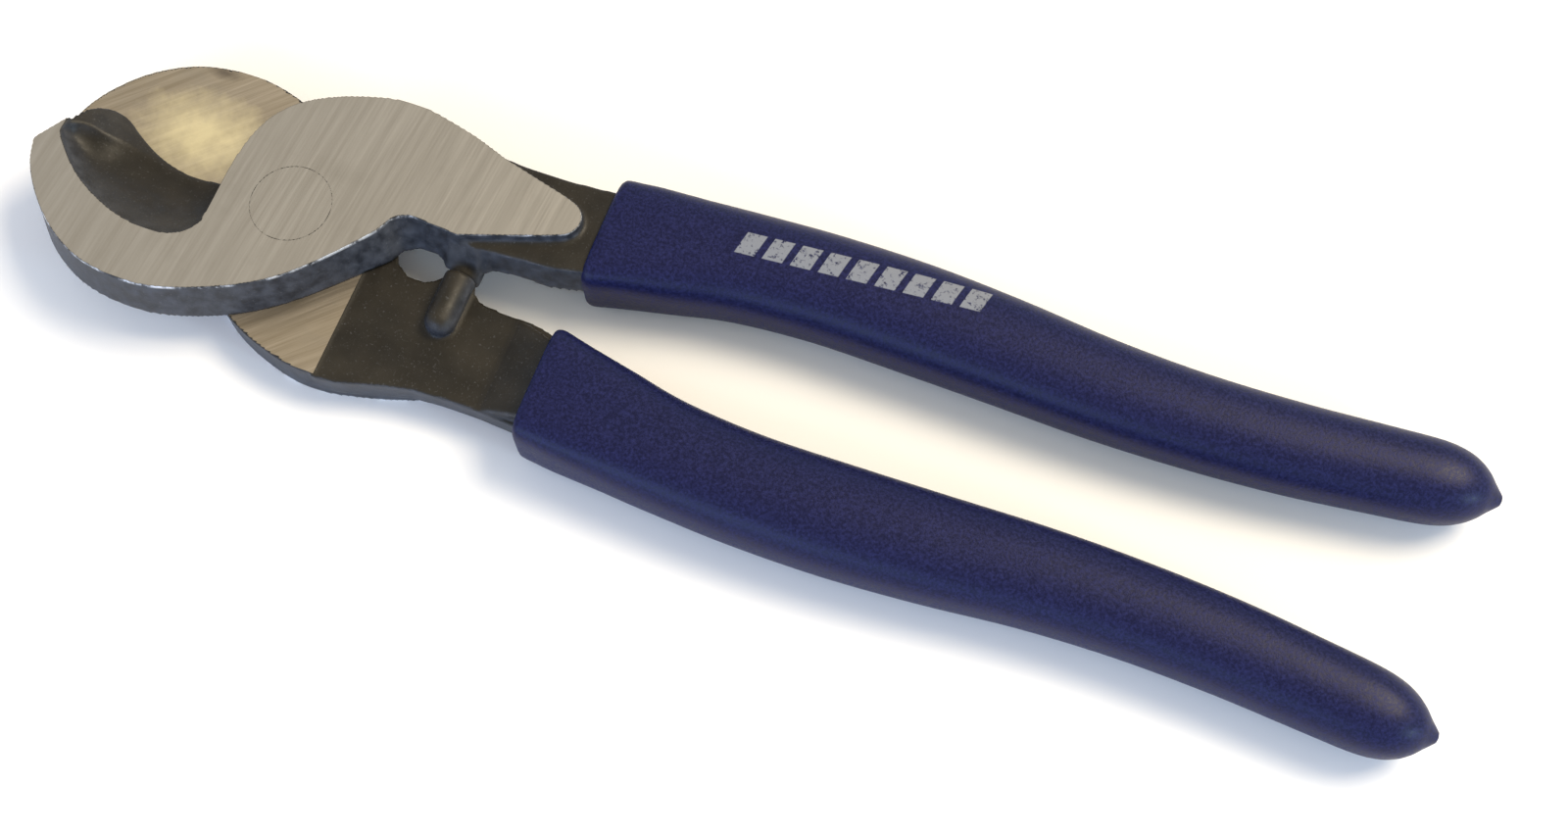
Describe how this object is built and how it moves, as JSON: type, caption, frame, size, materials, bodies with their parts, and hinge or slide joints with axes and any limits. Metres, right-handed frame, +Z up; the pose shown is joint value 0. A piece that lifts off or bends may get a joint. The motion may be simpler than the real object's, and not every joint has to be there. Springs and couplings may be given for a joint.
{
  "type": "cable cutter",
  "caption": "Plier-type shear cable cutter: lapped forged halves with hooked jaws, a flush pivot rivet and slim waved dipped grips.",
  "frame": {"origin": "middle of the tool's box, at the height of the surface that it lies on", "axes": "+X from the beaks towards the grip ends, +Z up through the lapped halves, +Y towards the front half's grip"},
  "size_m": [0.25, 0.0566, 0.016],
  "materials": {
    "forged_steel": "ground and forged",
    "rivet_steel": "ground flush",
    "dipped_vinyl": "satin, finely grained"
  },
  "bodies": {
    "front": {"front_half": "forged_steel", "pivot_rivet": "rivet_steel", "front_grip": "dipped_vinyl"},
    "rear": {"rear_half": "forged_steel", "rear_grip": "dipped_vinyl"}
  },
  "joints": [
    {"name": "pivot", "type": "hinge", "parent": "front", "child": "rear", "pos_m": [-0.078, 0, 0.008], "axis": [0, 0, -1], "range_deg": [0, 60]}
  ]
}
